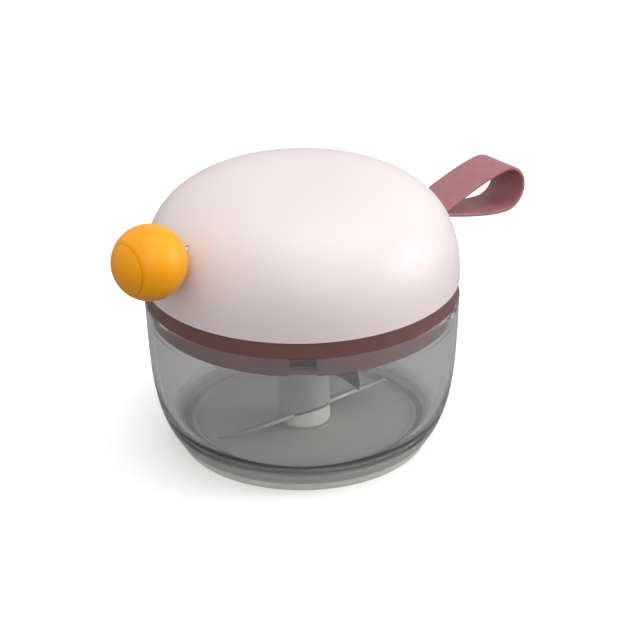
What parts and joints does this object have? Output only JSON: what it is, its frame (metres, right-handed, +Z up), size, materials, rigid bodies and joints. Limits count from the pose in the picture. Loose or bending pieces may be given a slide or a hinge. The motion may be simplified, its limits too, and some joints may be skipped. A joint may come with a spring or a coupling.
{
  "type": "pull-cord mini chopper",
  "caption": "Hand-pulled mini food chopper: clear bowl with a two-blade cutter under a domed lid, ball handle on a cord and a hanging strap.",
  "frame": {"origin": "centre of the anti-slip foot, on the plane that it stands on, on the cutter's axis", "axes": "+Z up along the cutter's axis, +X towards the strap, so the ball handle is pulled towards -X"},
  "size_m": [0.1438, 0.09, 0.0808],
  "materials": {
    "clear_bowl": "smoky clear, polished",
    "clear_hub": "clear, moulded",
    "foot_rubber": "soft matte",
    "cream_plastic": "satin",
    "blade_steel": "brushed, ground edge",
    "steel": "turned",
    "spring_steel": "blued strip",
    "brass": "sintered",
    "mauve_plastic": "fine satin",
    "pink_plastic": "soft satin",
    "white_plastic": "moulded acetal",
    "gasket_rubber": "matte silicone",
    "orange_plastic": "satin gloss",
    "strap_rubber": "matte silicone",
    "cord": "braided nylon"
  },
  "bodies": {
    "bowl": {"bowl": "clear_bowl", "foot_ring": "foot_rubber", "pivot_pin": "steel"},
    "cutter": {"blade_hub": "clear_hub", "hub_end_cap": "cream_plastic", "hub_bush": "brass", "lower_blade": "blade_steel", "upper_blade": "blade_steel"},
    "lid": {"lid_base": "mauve_plastic", "rim_gasket": "gasket_rubber", "dome_cover": "pink_plastic", "lid_screws": "steel", "screw_plugs": "mauve_plastic", "shaft_bush": "white_plastic", "shaft_seal": "gasket_rubber", "spring_arbor": "steel", "arbor_washer": "steel", "arbor_screw": "steel", "cord_eyelet": "pink_plastic", "strap_anchor": "strap_rubber", "strap_pin": "steel", "cord_inner_run": "cord"},
    "drive": {"drive_shaft": "white_plastic"},
    "spool": {"spool": "white_plastic", "spring_cover": "white_plastic", "recoil_spring": "spring_steel", "pawl_pins": "steel", "pawl_springs": "spring_steel", "cord_winding": "cord"},
    "pawl_a": {"pawl_a": "steel"},
    "pawl_b": {"pawl_b": "steel"},
    "handle": {"ball_shell": "orange_plastic", "ball_cap": "orange_plastic", "cord_outer_run": "cord", "cord_knot": "cord"},
    "strap": {"strap_loop": "strap_rubber"}
  },
  "joints": [
    {"name": "lid_lift", "type": "slide", "parent": "bowl", "child": "lid", "axis": [0, 0, 1], "range_m": [0, 0.07]},
    {"name": "spool_spin", "type": "hinge", "parent": "lid", "child": "spool", "pos_m": [0, 0, 0.0695], "axis": [0, 0, 1], "range_deg": [0, 800], "stiffness_Nm_per_rad": 0.004, "springref_deg": -572.96, "deforming": ["recoil_spring"]},
    {"name": "cord_pull", "type": "slide", "parent": "lid", "child": "handle", "axis": [-1, 0, 0], "range_m": [0, 0.25]},
    {"name": "drive_spin", "type": "hinge", "parent": "lid", "child": "drive", "pos_m": [0, 0, 0.045], "axis": [0, 0, 1], "range_deg": [0, 800]},
    {"name": "cutter_spin", "type": "hinge", "parent": "bowl", "child": "cutter", "pos_m": [0, 0, 0.01], "axis": [0, 0, 1], "range_deg": [0, 800]},
    {"name": "pawl_a_swing", "type": "hinge", "parent": "spool", "child": "pawl_a", "pos_m": [0.0182, 0, 0.0595], "axis": [0, 0, -1], "range_deg": [0, 8], "stiffness_Nm_per_rad": 0.001, "springref_deg": -11.46},
    {"name": "pawl_b_swing", "type": "hinge", "parent": "spool", "child": "pawl_b", "pos_m": [-0.0182, 0, 0.0595], "axis": [0, 0, -1], "range_deg": [0, 8]},
    {"name": "strap_bend", "type": "hinge", "parent": "lid", "child": "strap", "pos_m": [0.0462, 0, 0.0575], "axis": [0, 1, 0], "range_deg": [-60, 60], "stiffness_Nm_per_rad": 0.05}
  ],
  "couplings": [
    {"joint": "cord_pull", "follows": "spool_spin", "m_per_rad": 0.0179},
    {"joint": "drive_spin", "follows": "spool_spin", "ratio": 1},
    {"joint": "cutter_spin", "follows": "spool_spin", "ratio": 1},
    {"joint": "pawl_b_swing", "follows": "pawl_a_swing", "ratio": 1}
  ]
}
